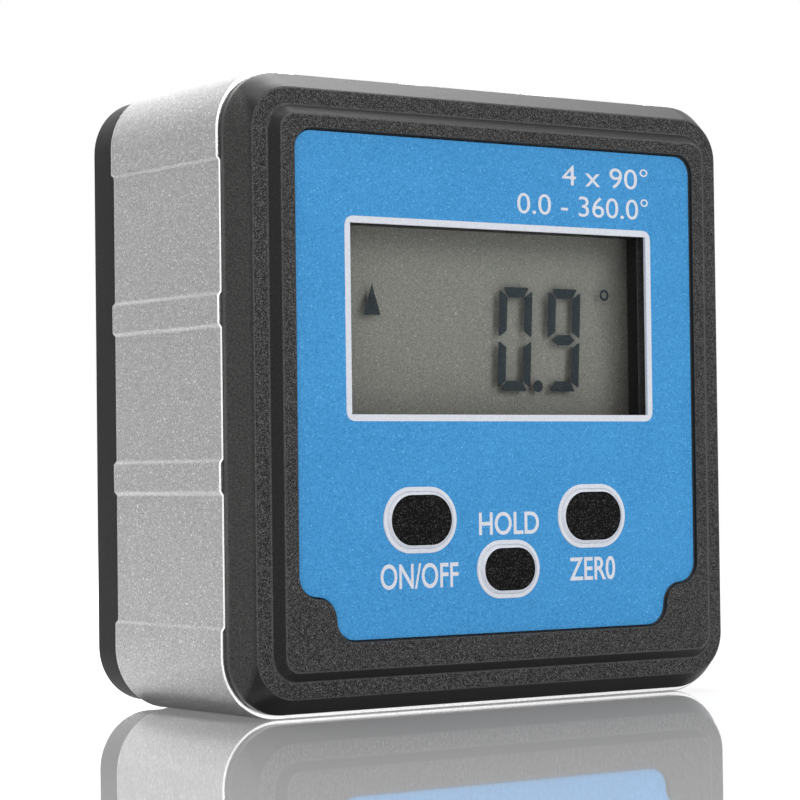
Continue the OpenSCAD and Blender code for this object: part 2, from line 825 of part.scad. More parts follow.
frame();
magnet(0);  // left_magnet
magnet(1);  // middle_magnet
magnet(2);  // right_magnet
front_cover();
display_window();
front_label();
lcd_front_glass();
lcd_rear_glass();
lcd_reflector();
lcd_holder();
zebra_strip();
key(on_off);  // on_off_key
key(hold);  // hold_key
key(zero);  // zero_key
plunger(on_off);  // on_off_plunger
plunger(hold);  // hold_plunger
plunger(zero);  // zero_plunger
switch_body(on_off);  // on_off_switch
switch_body(hold);  // hold_switch
switch_body(zero);  // zero_switch
main_board();
controller_chip();
tilt_sensor();
clock_crystal();
chip_capacitors();
board_screws();
rear_cover();
cell(1);  // upper_cell
cell(-1);  // lower_cell
tabbed_contact(1);  // negative_contact
tabbed_contact(-1);  // positive_contact
bridge_contact();
spring(1);  // upper_spring
spring(-1);  // lower_spring
battery_door();
case_screws();
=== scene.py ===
import json
import math

import bpy
from mathutils import Matrix, Vector

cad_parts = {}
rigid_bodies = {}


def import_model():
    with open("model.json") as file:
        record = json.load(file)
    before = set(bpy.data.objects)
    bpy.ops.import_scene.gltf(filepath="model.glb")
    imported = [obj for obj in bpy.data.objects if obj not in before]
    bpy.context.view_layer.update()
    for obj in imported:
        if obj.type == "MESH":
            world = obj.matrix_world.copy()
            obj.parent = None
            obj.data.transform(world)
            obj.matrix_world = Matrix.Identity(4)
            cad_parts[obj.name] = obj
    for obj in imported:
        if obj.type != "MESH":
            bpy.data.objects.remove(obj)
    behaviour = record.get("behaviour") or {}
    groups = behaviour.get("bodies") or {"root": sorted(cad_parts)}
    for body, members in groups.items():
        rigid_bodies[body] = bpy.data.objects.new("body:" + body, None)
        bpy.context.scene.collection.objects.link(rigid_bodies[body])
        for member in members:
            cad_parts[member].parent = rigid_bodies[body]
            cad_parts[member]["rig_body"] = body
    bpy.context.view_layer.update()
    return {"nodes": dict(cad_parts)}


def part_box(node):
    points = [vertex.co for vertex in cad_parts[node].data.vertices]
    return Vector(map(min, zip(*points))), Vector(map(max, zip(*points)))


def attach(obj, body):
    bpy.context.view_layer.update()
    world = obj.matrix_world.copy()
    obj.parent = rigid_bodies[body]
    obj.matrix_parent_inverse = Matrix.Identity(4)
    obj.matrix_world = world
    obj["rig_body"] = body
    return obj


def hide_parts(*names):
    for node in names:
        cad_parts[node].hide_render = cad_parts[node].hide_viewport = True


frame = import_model()

# The view. A long lens stands low on the bench in front of the gauge's left corner, a little below
# the middle of its face, so that the display, the left side and the floor's mirror image all show.
MM = 0.001
quarter = math.radians(90)
view_place = Vector((-164.30, -225.39, 22.54)) * MM
view_yaw = math.radians(35.660)
view_pitch = math.radians(1.498)
view_roll = math.radians(-0.709)
view_lens = 125.49
sensor_w = 36
near_limit = 10 * MM

bpy.ops.object.select_all(action="DESELECT")
bpy.ops.object.camera_add()
camera = bpy.context.object
camera.name = "bench_camera"
camera.data.sensor_width = sensor_w
camera.data.lens = view_lens
camera.data.clip_start = near_limit
camera.matrix_world = (
    Matrix.Translation(view_place)
    @ Matrix.Rotation(-view_yaw, 4, "Z")
    @ Matrix.Rotation(quarter + view_pitch, 4, "X")
    @ Matrix.Rotation(view_roll, 4, "Z")
)
bpy.context.scene.camera = camera
bpy.context.scene.view_settings.view_transform = "Standard"


# The studio. A polished white sheet lies in a white surround that it fades into. Softboxes hang overhead,
# above the near left corner and behind, stand in front on the right and at the left, and a small one lights
# the sheet beside the frame.
class Wire:
    """A socket of a node tree. Sums, products and comparisons of wires add Math nodes."""

    def __init__(self, tree, socket):
        self.tree = tree
        self.socket = socket

    def node(self, kind, settings, inputs, output=0):
        """Adds a node of that kind, with its settings and inputs, and gives one of its outputs."""
        made = self.tree.nodes.new("ShaderNode" + kind)
        for name, value in settings.items():
            setattr(made, name, value)
        for name, value in inputs.items():
            if isinstance(value, Wire):
                self.tree.links.new(value.socket, made.inputs[name])
            else:
                made.inputs[name].default_value = value
        return Wire(self.tree, made.outputs[output])

    def math(self, operation, *values):
        return self.node("Math", {"operation": operation}, dict(enumerate(values)))

    def __add__(self, other):
        return self.math("ADD", self, other)

    def __sub__(self, other):
        return self.math("SUBTRACT", self, other)

    def __rsub__(self, other):
        return self.math("SUBTRACT", other, self)

    def __mul__(self, other):
        return self.math("MULTIPLY", self, other)

    def __abs__(self):
        return self.math("ABSOLUTE", self)

    __radd__ = __add__
    __rmul__ = __mul__

    def between(self, low, high):
        """This value's way from low to high, from 0 to 1 and no further."""
        return self.node("MapRange", {}, {"Value": self, "From Min": low, "From Max": high})

    def mixed(self, low, high):
        """A colour between two others, as this value goes from 0 to 1."""
        return self.node("Mix", {"data_type": "RGBA"}, {0: self, 6: low, 7: high}, 2)

    def part(self, axis):
        return self.node("SeparateXYZ", {}, {0: self}, axis)

    def cells(self, size):
        """A chance value for each grain of that size."""
        return self.node("TexVoronoi", {}, {"Vector": self, "Scale": 1 / size}, "Color")

    def cloud(self, size, detail=2):
        """Soft patches of that size, about one half."""
        return self.node("TexNoise", {}, {"Vector": self, "Scale": 1 / size, "Detail": detail})

    def bumped(self, strength, depth):
        """A normal from this height, which is this deep between 0 and 1."""
        return self.node("Bump", {}, {"Height": self, "Strength": strength, "Distance": depth}, "Normal")

    def feeds(self, shader, name):
        self.tree.links.new(self.socket, shader.inputs[name])


def new_finish(name, constants):
    """A material with one shader; gives the material, its shader and the piece's own coordinates."""
    material = bpy.data.materials.new(name)
    material.use_nodes = True
    tree = material.node_tree
    shader = tree.nodes["Principled BSDF"]
    for socket, value in constants.items():
        shader.inputs[socket].default_value = value
    coordinates = tree.nodes.new("ShaderNodeTexCoord")
    return material, shader, Wire(tree, coordinates.outputs["Object"])


floor_drop = 0.01 * MM
floor_from, floor_to = 250 * MM, 600 * MM
bpy.ops.mesh.primitive_plane_add(size=2 * floor_to, location=(0, 0, -floor_drop))
floor = bpy.context.object
floor.name = "acrylic_floor"
acrylic, shader, place = new_finish(
    "white_acrylic",
    {
        "Base Color": (0.6, 0.6, 0.6, 1),
        "Roughness": 0.03,
        "Metallic": 0.55,
        "Emission Color": (1, 1, 1, 1),
        "Emission Strength": 0.13,
    },
)
reach = place.node("VectorMath", {"operation": "LENGTH"}, {0: place}, "Value")
(1 - reach.between(floor_from, floor_to)).feeds(shader, "Alpha")
floor.data.materials.append(acrylic)

ambient = 0.25
world = bpy.data.worlds.new("white_surround")
world.use_nodes = True
bpy.context.scene.world = world
rays = world.node_tree.nodes.new("ShaderNodeLightPath")
seen = Wire(world.node_tree, rays.outputs["Is Camera Ray"])
for kind in ("Is Glossy Ray", "Is Transmission Ray"):
    seen = seen.math("MAXIMUM", seen, Wire(world.node_tree, rays.outputs[kind]))
surround = world.node_tree.nodes["Background"]
surround.inputs["Color"].default_value = (1, 1, 1, 1)
(seen * (1 - ambient) + ambient).feeds(surround, "Strength")

softboxes = {
    "overhead_softbox": ((205, 220, 670), (0, 0, 30), 440, 180, 5.6),
    "back_softbox": ((100, 800, 420), (0, 0, 30), 900, 180, 2.1),
    "face_softbox": ((250, -680, 340), (0, 0, 30), 420, 180, 2.35),
    "left_softbox": ((-450, -350, 300), (0, 0, 30), 400, 180, 0.7),
    "sheet_softbox": ((-58, 42, 130), (-58, 42, 0), 60, 45, 0.07),
    "crown_softbox": ((-190, -85, 650), (0, 0, 30), 180, 180, 1.5),
}
for name, (place, aim, width, spread, power) in softboxes.items():
    bpy.ops.object.light_add(type="AREA", location=Vector(place) * MM)
    lamp = bpy.context.object
    lamp.name = name
    lamp.data.shape = "SQUARE"
    lamp.data.size = width * MM
    lamp.data.spread = math.radians(spread)
    lamp.data.energy = power
    lamp.rotation_euler = (Vector(aim) * MM - lamp.location).to_track_quat("-Z", "Y").to_euler()

# The frame. A ring sawn from extruded aluminium, with three shallow panels along its top and sides. It is
# bead blasted and clear anodised, and its two ends are then milled flat, so their rims stay bright.
weld_gap = 0.002 * MM
coplanar = math.radians(0.3)
sharp = math.radians(28)


def finished_copy(node, name, edge, steps, outside=None):
    """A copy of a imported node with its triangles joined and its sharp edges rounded."""
    bpy.ops.object.select_all(action="DESELECT")
    piece = bpy.data.objects.new(name, frame["nodes"][node].data.copy())
    bpy.context.collection.objects.link(piece)
    bpy.context.view_layer.objects.active = piece
    piece.select_set(True)
    bpy.ops.object.mode_set(mode="EDIT")
    bpy.ops.mesh.select_mode(type="EDGE")
    bpy.ops.mesh.select_all(action="SELECT")
    bpy.ops.mesh.customdata_custom_splitnormals_clear()
    bpy.ops.mesh.remove_doubles(threshold=weld_gap)
    bpy.ops.mesh.dissolve_limited(angle_limit=coplanar)
    bpy.ops.mesh.select_all(action="DESELECT")
    bpy.ops.mesh.edges_select_sharp(sharpness=sharp)
    if outside:
        bpy.ops.object.mode_set(mode="OBJECT")
        corners = piece.data.vertices
        for line in piece.data.edges:
            start, end = (corners[i].co for i in line.vertices)
            line.select = line.select and outside((start + end) / 2)
        bpy.ops.object.mode_set(mode="EDIT")
    if steps:
        bpy.ops.mesh.bevel(offset=edge, segments=steps, affect="EDGES")
    bpy.ops.object.mode_set(mode="OBJECT")
    bpy.ops.object.shade_smooth()
    even = piece.modifiers.new("even_normals", "WEIGHTED_NORMAL")
    bpy.ops.object.modifier_apply(modifier=even.name)
    piece.data.materials.clear()
    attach(piece, frame["nodes"][node]["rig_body"])
    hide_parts(node)
    return piece


def paint_faces(piece, number, chosen):
    """Gives a material slot to the faces that are chosen by their centre and normal."""
    for face in piece.data.polygons:
        if chosen(face.center, face.normal):
            face.material_index = number


blasted, shader, place = new_finish("blasted_aluminium", {"Metallic": 1})
speck = place.cells(0.1 * MM)
cloud = place.cloud(0.3 * MM, 3)
tone = speck * 0.8 + cloud * 0.2
shade = tone.mixed((0.165, 0.165, 0.165, 1), (0.495, 0.495, 0.495, 1))
# Painted glints: the brightest grains are lifted to a pale grey in the colour, for light caught by the
# blasted facets.
speck.between(0.84, 0.96).mixed(shade, (0.76, 0.76, 0.76, 1)).feeds(shader, "Base Color")
(speck * 0.14 + 0.32).feeds(shader, "Roughness")
(speck + cloud).bumped(0.4, 0.03 * MM).feeds(shader, "Normal")

milled, shader, place = new_finish("milled_aluminium", {"Metallic": 1})
swirl = place.cloud(0.25 * MM, 4)
swirl.mixed((0.84, 0.84, 0.84, 1), (1, 1, 1, 1)).feeds(shader, "Base Color")
(swirl * 0.2 + 0.12).feeds(shader, "Roughness")
swirl.bumped(0.3, 0.03 * MM).feeds(shader, "Normal")

frame_edge = 0.13 * MM
rim_depth = 0.14 * MM
frame_low, frame_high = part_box("frame")
ring = finished_copy("frame", "ribbed_frame", frame_edge, 3)
ring.data.materials.append(blasted)
ring.data.materials.append(milled)
paint_faces(
    ring,
    1,
    lambda centre, normal: abs(normal.y) > 0.15
    and (centre.y < frame_low.y + rim_depth or centre.y > frame_high.y - rim_depth),
)

# The base magnets. Three sintered discs, nickel plated and rounded at their edges, which are glued into
# round pockets in the frame's base.
magnet_edge = 0.25 * MM
plated, shader, place = new_finish("magnet_nickel", {"Metallic": 1})
ripple = place.cloud(0.6 * MM, 5)
ripple.mixed((0.50, 0.49, 0.46, 1), (0.66, 0.65, 0.61, 1)).feeds(shader, "Base Color")
(ripple * 0.25 + 0.15).feeds(shader, "Roughness")
ripple.bumped(0.2, 0.02 * MM).feeds(shader, "Normal")
for side in ("left", "middle", "right"):
    disc = finished_copy(side + "_magnet", side + "_magnet_disc", magnet_edge, 3)
    disc.data.materials.append(plated)

# The front cover. One black moulding that steps down from the display to the frame, with a spark eroded
# grain that is coarse on its flats; its colour carries painted glints on the flats and side borders and a
# painted highlight along the rounded edges. It plugs into the frame and the case screws hold it.
flats_from, flats_full = -12.5 * MM, -12.7 * MM
border_from, border_full = 27.9 * MM, 28.3 * MM
textured, shader, place = new_finish("spark_textured_black", {"Specular IOR Level": 0.18})
turn = abs(place.node("TexCoord", {}, {}, "Normal").part("Y"))
flat = turn.between(0.93, 0.99) * place.part("Y").between(flats_from, flats_full)
edge = turn.between(0.72, 0.80) * (1 - flat)
border = abs(place.part("X")).between(border_from, border_full)
grain = place.cells(0.075 * MM)
leather = place.cloud(0.16 * MM)
body = leather.between(0.38, 0.7).mixed((0.004, 0.004, 0.004, 1), (0.012, 0.012, 0.012, 1))
# Painted glints: grains on the left and right border slopes are lightened in the colour.
body = (border * grain).mixed(body, (0.07, 0.07, 0.068, 1))
# Painted highlight: grains on the rounded edges between slopes and flats are lightened, for light catching
# the edges.
body = (edge * grain).mixed(body, (0.11, 0.11, 0.108, 1))
# Painted glints: the upper grains of the front-facing flats are lightened in the colour.
flat_glints = grain.between(0.5, 1) * (flat * 0.96 + 0.04)
flat_glints.mixed(body, (0.185, 0.185, 0.182, 1)).feeds(shader, "Base Color")
(flat * 0.1 + leather * 0.1 + 0.38).feeds(shader, "Roughness")
(grain * flat + leather * (border * 1.2 + 0.3)).bumped(0.7, 0.07 * MM).feeds(shader, "Normal")

cover_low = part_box("front_cover")[0]
cover_edge = 0.16 * MM
edge_reach = 0.1 * MM
pocket_x = 24.5 * MM
pocket_low, pocket_high = 6.5 * MM, 54.6 * MM
cover = finished_copy(
    "front_cover",
    "front_bezel",
    cover_edge,
    3,
    lambda p: p.y < cover_low.y + edge_reach
    or (p.y < frame_low.y - edge_reach and (abs(p.x) > pocket_x or not pocket_low < p.z < pocket_high)),
)
cover.data.materials.append(textured)


# The display window. A clear sheet of plastic, cut square and bonded into its seat in the cover, behind
# the label's opening.
def dress(node, finish):
    """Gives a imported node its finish, where its plain shape is seen little or not at all."""
    frame["nodes"][node].data.materials.clear()
    frame["nodes"][node].data.materials.append(finish)


clear, shader, place = new_finish("clear_sheet", {"Base Color": (0, 0, 0, 1), "Roughness": 0.05})
(place.cloud(3 * MM) * 0.04 + 0.02).feeds(shader, "Alpha")
dress("display_window", clear)

# The display. Two glasses with the liquid crystal between them and a grey reflector behind; the
# figures are the crystal's dark fields, so they stand off the reflector and cast a soft shadow on it.
cell_clear, shader, place = new_finish("lcd_glass", {"Base Color": (0, 0, 0, 1), "Roughness": 0.3})
(place.cloud(0.2 * MM) * 0.02 + 0.01).feeds(shader, "Alpha")

grey_film, shader, place = new_finish("reflector_film", {"Roughness": 0.7, "Specular IOR Level": 0.2})
flake = place.cells(0.1 * MM)
body = flake.mixed((0.165, 0.17, 0.15, 1), (0.34, 0.345, 0.31, 1))
# Painted glints: the brightest flecks are lightened in the colour, for the reflector film's sparkle.
flake.between(0.86, 1).mixed(body, (0.6, 0.6, 0.55, 1)).feeds(shader, "Base Color")
flake.bumped(0.4, 0.03 * MM).feeds(shader, "Normal")
dress("lcd_reflector", grey_film)

film_gap = 0.02 * MM
front_low, front_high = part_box("lcd_front_glass")
rear_low, rear_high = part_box("lcd_rear_glass")
rear_t = rear_high.y - rear_low.y - film_gap
bpy.ops.object.select_all(action="DESELECT")
bpy.ops.mesh.primitive_cube_add(size=1)
glass = bpy.context.object
glass.name = "display_glass"
glass.data.transform(
    Matrix.Translation((front_low + front_high) / 2) @ Matrix.Diagonal((*(front_high - front_low), 1))
)
bpy.ops.object.mode_set(mode="EDIT")
bpy.ops.mesh.select_all(action="SELECT")
bpy.ops.mesh.bisect(plane_co=rear_low, plane_no=(0, 0, 1))
bpy.ops.mesh.select_all(action="DESELECT")
bpy.ops.object.mode_set(mode="OBJECT")
for face in glass.data.polygons:
    face.select = face.normal.y > 0.9 and face.center.z > rear_low.z
bpy.ops.object.mode_set(mode="EDIT")
bpy.ops.mesh.select_mode(type="FACE")
bpy.ops.mesh.extrude_region_move(TRANSFORM_OT_translate={"value": (0, rear_t, 0)})
bpy.ops.object.mode_set(mode="OBJECT")
glass.data.materials.append(cell_clear)
glass.data.materials.append(grey_film)
paint_faces(glass, 1, lambda centre, normal: centre.y > rear_high.y - 2 * film_gap)
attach(glass, "case")
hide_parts("lcd_front_glass", "lcd_rear_glass")

figure_y = front_high.y - film_gap
figure_t = 0.01 * MM
figure_lean = 0.045
bar_w = 1.0 * MM
bar_cut = 0.18 * MM
digit_half_w = 2.05 * MM
digit_half_h = 5.1 * MM
digit_level = 35.52 * MM
ones_x, tenths_x = 4.27 * MM, 10.37 * MM
point_r = 0.6 * MM
point_place = (7.08 * MM, 30.92 * MM)
arrow_half_w, arrow_half_h = 1.13 * MM, 2.0 * MM
arrow_place = (-12.83 * MM, 38.52 * MM)
degree_r, degree_w = 0.58 * MM, 0.26 * MM
degree_place = (15.7 * MM, 40.13 * MM)


def standing(place, turn):
    """Stands a flat shape up in the figures' plane, turned and put in its place there."""
    return (
        Matrix.Translation((place[0], figure_y, place[1]))
        @ Matrix.Rotation(quarter, 4, "X")
        @ Matrix.Rotation(turn, 4, "Z")
    )


def filled_shape(corners, half_w, half_h, place, turn=0):
    """A figure with that many corners round its centre, the first one at the top unless turned."""
    bpy.ops.object.select_all(action="DESELECT")
    bpy.ops.mesh.primitive_circle_add(vertices=corners, radius=1, fill_type="NGON")
    shape = bpy.context.object
    stretch = Matrix.Diagonal((half_w, half_h, 1, 1))
    shape.data.transform(standing(place, 0) @ stretch @ Matrix.Rotation(turn, 4, "Z"))
    return shape


def bar(long_side, short_side, place, turn):
    """One bar of a digit: a strip with a shorter inner side and cut outer corners."""
    bpy.ops.object.select_all(action="DESELECT")
    bpy.ops.mesh.primitive_plane_add(size=1)
    strip = bpy.context.object
    strip.data.transform(Matrix.Diagonal((long_side, bar_w, 1, 1)))
    bpy.ops.object.mode_set(mode="EDIT")
    bpy.ops.mesh.select_mode(type="VERT")
    bpy.ops.mesh.select_all(action="DESELECT")
    bpy.ops.object.mode_set(mode="OBJECT")
    for corner in strip.data.vertices:
        corner.select = corner.co.y < 0
    bpy.ops.object.mode_set(mode="EDIT")
    bpy.ops.transform.resize(value=(short_side / long_side, 1, 1))
    bpy.ops.mesh.select_all(action="INVERT")
    bpy.ops.mesh.bevel(offset=bar_cut, segments=1, affect="VERTICES")
    bpy.ops.object.mode_set(mode="OBJECT")
    strip.data.transform(standing(place, math.radians(turn)))
    return strip


def digit(lit, centre):
    """The lit bars of one digit, which leans a little to the right."""
    level = digit_half_h - bar_w / 2
    wall = digit_half_w - bar_w / 2
    rise = 2.47 * MM
    across = (3.25 * MM, 1.95 * MM)
    along = (4.65 * MM, 3.3 * MM)
    middle = (1.46 * MM, 0.59 * MM)
    bars = {
        "a": (*across, (0, level), 0),
        "b": (*along, (wall, rise), -90),
        "c": (*along, (wall, -rise), -90),
        "d": (*across, (0, -level), 180),
        "e": (*along, (-wall, -rise), 90),
        "f": (*along, (-wall, rise), 90),
    }
    made = [bar(*bars[name]) for name in lit if name in bars]
    if "g" in lit:
        made.append(filled_shape(6, *middle, (0, 0), quarter))
    lean = Matrix.Translation((centre[0], 0, centre[1])) @ Matrix.Shear("XY", 4, (figure_lean, 0))
    for piece in made:
        piece.data.transform(lean)
    return made


def thickened(flat_piece, thickness):
    """Gives a flat piece, which is the active object, its thickness behind its face."""
    film = flat_piece.modifiers.new("film", "SOLIDIFY")
    film.thickness = thickness
    bpy.ops.object.modifier_apply(modifier=film.name)
    bpy.ops.object.shade_flat()


figures = digit("abcdef", (ones_x, digit_level)) + digit("abcdfg", (tenths_x, digit_level))
figures.append(filled_shape(24, point_r, point_r, point_place))
figures.append(filled_shape(3, arrow_half_w, arrow_half_h, arrow_place))
figures.append(filled_shape(32, degree_r, degree_r, degree_place))
bpy.ops.object.mode_set(mode="EDIT")
bpy.ops.mesh.select_all(action="SELECT")
bpy.ops.mesh.inset(thickness=degree_w, use_even_offset=True)
bpy.ops.mesh.delete(type="FACE")
bpy.ops.object.mode_set(mode="OBJECT")
bpy.ops.object.select_all(action="DESELECT")
for figure in figures:
    figure.select_set(True)
bpy.context.view_layer.objects.active = figures[0]
bpy.ops.object.join()
dark_fields = bpy.context.object
dark_fields.name = "display_figures"
thickened(dark_fields, figure_t)

dark, shader, place = new_finish("lcd_dark", {"Roughness": 0.6, "Specular IOR Level": 0.1})
place.cloud(0.4 * MM).mixed((0.024, 0.034, 0.040, 1), (0.036, 0.048, 0.054, 1)).feeds(shader, "Base Color")
dark_fields.data.materials.append(dark)
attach(dark_fields, "case")

# The display's holder and contact strip. The holder is a black moulding that presses the glass to its
# seat; the strip is layered silicone rubber that joins the glass's lower shelf to the board.
holder_edge = 0.12 * MM
strip_edge = 0.15 * MM
layer_pitch = 1.2 * MM
inner_black, shader, place = new_finish("inner_black", {"Specular IOR Level": 0.3})
body = place.cloud(1.5 * MM, 3).mixed((0.012, 0.012, 0.013, 1), (0.024, 0.024, 0.025, 1))
body.feeds(shader, "Base Color")
(place.cloud(0.5 * MM) * 0.2 + 0.45).feeds(shader, "Roughness")
holder = finished_copy("lcd_holder", "display_holder", holder_edge, 2)
holder.data.materials.append(inner_black)

rubber, shader, place = new_finish("layered_rubber", {"Roughness": 0.75, "Specular IOR Level": 0.2})
layers = place.node("TexWave", {"bands_direction": "X"}, {"Vector": place, "Scale": 1 / layer_pitch})
layers.between(0.4, 0.6).mixed((0.42, 0.13, 0.09, 1), (0.05, 0.045, 0.045, 1)).feeds(shader, "Base Color")
strip = finished_copy("zebra_strip", "layered_strip", strip_edge, 2)
strip.data.materials.append(rubber)

# The front label. A matte polyester film printed in blue, embossed round each key and glued into the
# cover's pocket; the window's border, the key rims, the walls of its openings, the legends and the figures
# are white.
blue, shader, place = new_finish("blue_film", {"Roughness": 0.5, "Specular IOR Level": 0.15})
spark = place.cells(0.12 * MM)
body = (spark * 0.8 + place.cloud(6 * MM) * 0.2).mixed((0.020, 0.175, 0.420, 1), (0.076, 0.370, 0.740, 1))
# Painted glints: the brightest cells are lightened in the colour, for light glinting off the matte film.
spark.between(0.86, 0.98).mixed(body, (0.16, 0.47, 0.80, 1)).feeds(shader, "Base Color")
spark.bumped(0.4, 0.03 * MM).feeds(shader, "Normal")

white, shader, place = new_finish("white_print", {"Roughness": 0.5, "Specular IOR Level": 0.2})
spark = place.cells(0.13 * MM)
spark.mixed((0.58, 0.605, 0.665, 1), (0.70, 0.725, 0.79, 1)).feeds(shader, "Base Color")
spark.bumped(0.2, 0.02 * MM).feeds(shader, "Normal")

label_edge = 0.04 * MM
label_sink = 0.4 * MM
label_face = cover_low.y + label_sink
print_rise = 0.012 * MM
print_t = 0.01 * MM
window_low, window_high = Vector((-17.76, 0, 28.0)) * MM, Vector((18.04, 0, 45.8)) * MM
window_mid = (window_low + window_high) / 2
holes_x = 18.2 * MM
holes_low, holes_high = 8.5 * MM, 46 * MM
label = finished_copy("front_label", "printed_label", label_edge, 2)
label.data.materials.append(blue)
label.data.materials.append(white)
paint_faces(
    label,
    1,
    lambda centre, normal: centre.y < label_face - print_rise
    or (abs(normal.y) < 0.9 and abs(centre.x) < holes_x and holes_low < centre.z < holes_high),
)

border_w = 37.12 * MM
border_h = 19.05 * MM
border_r = 1.0 * MM
bpy.ops.object.select_all(action="DESELECT")
bpy.ops.mesh.primitive_plane_add(size=1)
window_print = bpy.context.object
window_print.name = "window_border"
window_print.data.transform(Matrix.Diagonal((border_w, border_h, 1, 1)))
bpy.ops.object.mode_set(mode="EDIT")
bpy.ops.mesh.select_mode(type="FACE")
bpy.ops.mesh.select_all(action="SELECT")
bpy.ops.mesh.inset(thickness=(border_h - (window_high.z - window_low.z)) / 2, use_even_offset=True)
bpy.ops.mesh.delete(type="FACE")
bpy.ops.mesh.select_mode(type="VERT")
bpy.ops.mesh.select_all(action="DESELECT")
bpy.ops.object.mode_set(mode="OBJECT")
for corner in window_print.data.vertices:
    corner.select = abs(corner.co.x) > border_w / 2 - edge_reach
bpy.ops.object.mode_set(mode="EDIT")
bpy.ops.mesh.bevel(offset=border_r, segments=6, affect="VERTICES")
bpy.ops.object.mode_set(mode="OBJECT")
window_print.data.transform(
    Matrix.Translation((window_mid.x, label_face - print_rise, window_mid.z))
    @ Matrix.Rotation(quarter, 4, "X")
)
thickened(window_print, print_t)
window_print.data.materials.append(white)
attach(window_print, "case")


def legend(name, words, centre, width, height, weight):
    """White print on the label: words drawn to a width and height about their centre."""
    bpy.ops.object.select_all(action="DESELECT")
    bpy.ops.object.text_add()
    letters = bpy.context.object
    letters.data.body = words
    letters.data.resolution_u = 8
    letters.data.offset = weight
    bpy.ops.object.convert(target="MESH")
    letters = bpy.context.object
    letters.name = name
    across = [corner.co.x for corner in letters.data.vertices]
    up = [corner.co.y for corner in letters.data.vertices]
    middle = Vector(((min(across) + max(across)) / 2, (min(up) + max(up)) / 2, 0))
    grow = (width / (max(across) - min(across)), height / (max(up) - min(up)), 1, 1)
    letters.data.transform(
        Matrix.Translation((centre[0], label_face - print_rise, centre[1]))
        @ Matrix.Rotation(quarter, 4, "X")
        @ Matrix.Diagonal(grow)
        @ Matrix.Translation(-middle)
    )
    thickened(letters, print_t)
    letters.data.materials.append(white)
    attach(letters, "case")


legend("on_off_legend", "ON/OFF", (-10.29 * MM, 12.86 * MM), 9.04 * MM, 2.37 * MM, 0.012)
legend("hold_legend", "HOLD", (0.39 * MM, 17.59 * MM), 7.28 * MM, 2.2 * MM, 0.014)
legend("zero_legend", "ZER0", (10.66 * MM, 12.95 * MM), 5.78 * MM, 2.3 * MM, 0.014)
legend("range_figures", "4 x 90°", (13.0 * MM, 51.55 * MM), 11.0 * MM, 2.1 * MM, 0)
legend("travel_figures", "0.0 - 360.0°", (10.2 * MM, 48.55 * MM), 16.6 * MM, 2.1 * MM, 0)

# The keys. White caps with a black printed top, each with a flange behind the label and a stem to its
# switch; the cap fills its hole in the film, which stretches over it on the real gauge.
black_top, shader, place = new_finish("black_key_top", {"Roughness": 0.5, "Specular IOR Level": 0.04})
spark = place.cells(0.1 * MM)
# Black print with painted glints: light specks in the colour where the grain would catch light.
glint_speckled = spark.between(0.65, 0.98).mixed((0.003, 0.003, 0.003, 1), (0.075, 0.075, 0.074, 1))
glint_speckled.feeds(shader, "Base Color")
spark.bumped(0.35, 0.03 * MM).feeds(shader, "Normal")

cap_edge = 0.05 * MM
cap_fill = 0.079 * MM
label_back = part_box("front_label")[1].y
for name in ("on_off", "hold", "zero"):
    cap = finished_copy(name + "_key", name + "_cap", cap_edge, 2, lambda p: p.y < label_back)
    bpy.ops.object.mode_set(mode="EDIT")
    bpy.ops.mesh.select_mode(type="FACE")
    bpy.ops.mesh.select_all(action="DESELECT")
    bpy.ops.object.mode_set(mode="OBJECT")
    for face in cap.data.polygons:
        face.select = face.center.y < label_back and abs(face.normal.y) < 0.2
    bpy.ops.object.mode_set(mode="EDIT")
    bpy.ops.transform.shrink_fatten(value=cap_fill)
    bpy.ops.object.mode_set(mode="OBJECT")
    cap.data.materials.append(white)
    cap.data.materials.append(black_top)
    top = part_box(name + "_key")[0].y
    paint_faces(cap, 1, lambda centre, normal: centre.y < top + print_rise)

# The key switches. Black moulded bodies soldered to the board, each with a cream plunger that its key's
# stem presses.
switch_edge = 0.15 * MM
plunger_edge = 0.2 * MM
cream, shader, place = new_finish("cream_plastic", {"Specular IOR Level": 0.4})
place.cloud(1 * MM, 3).mixed((0.60, 0.56, 0.46, 1), (0.70, 0.66, 0.56, 1)).feeds(shader, "Base Color")
(place.cloud(0.4 * MM) * 0.2 + 0.3).feeds(shader, "Roughness")
for name in ("on_off", "hold", "zero"):
    finished_copy(name + "_switch", name + "_switch_body", switch_edge, 2).data.materials.append(inner_black)
    finished_copy(name + "_plunger", name + "_plunger_pin", plunger_edge, 2).data.materials.append(cream)

# The board. Glass fibre with a green solder mask over copper tracks, screwed to four posts of the front
# cover; on it sit the controller, the tilt sensor in a steel can, a clock crystal and capacitors.
board_edge = 0.1 * MM
can_edge = 0.15 * MM
chip_edge = 0.08 * MM
track_pitch = 4 * MM
mask, shader, place = new_finish("green_mask", {"Specular IOR Level": 0.5})
tracks = place.node(
    "TexBrick",
    {"offset": 0.35},
    {
        "Vector": place.node("CombineXYZ", {}, {"X": place.part("X"), "Y": place.part("Z")}),
        "Scale": 1 / track_pitch,
        "Mortar Size": 0.06,
        "Brick Width": 1.7,
        "Row Height": 0.3,
    },
    "Fac",
)
weave = place.cloud(0.6 * MM, 4)
green = (tracks * 0.7 + weave * 0.3).mixed((0.010, 0.085, 0.028, 1), (0.035, 0.19, 0.065, 1))
green.feeds(shader, "Base Color")
(weave * 0.2 + 0.3).feeds(shader, "Roughness")
finished_copy("main_board", "green_board", board_edge, 1).data.materials.append(mask)
finished_copy("controller_chip", "controller_body", board_edge, 2).data.materials.append(inner_black)

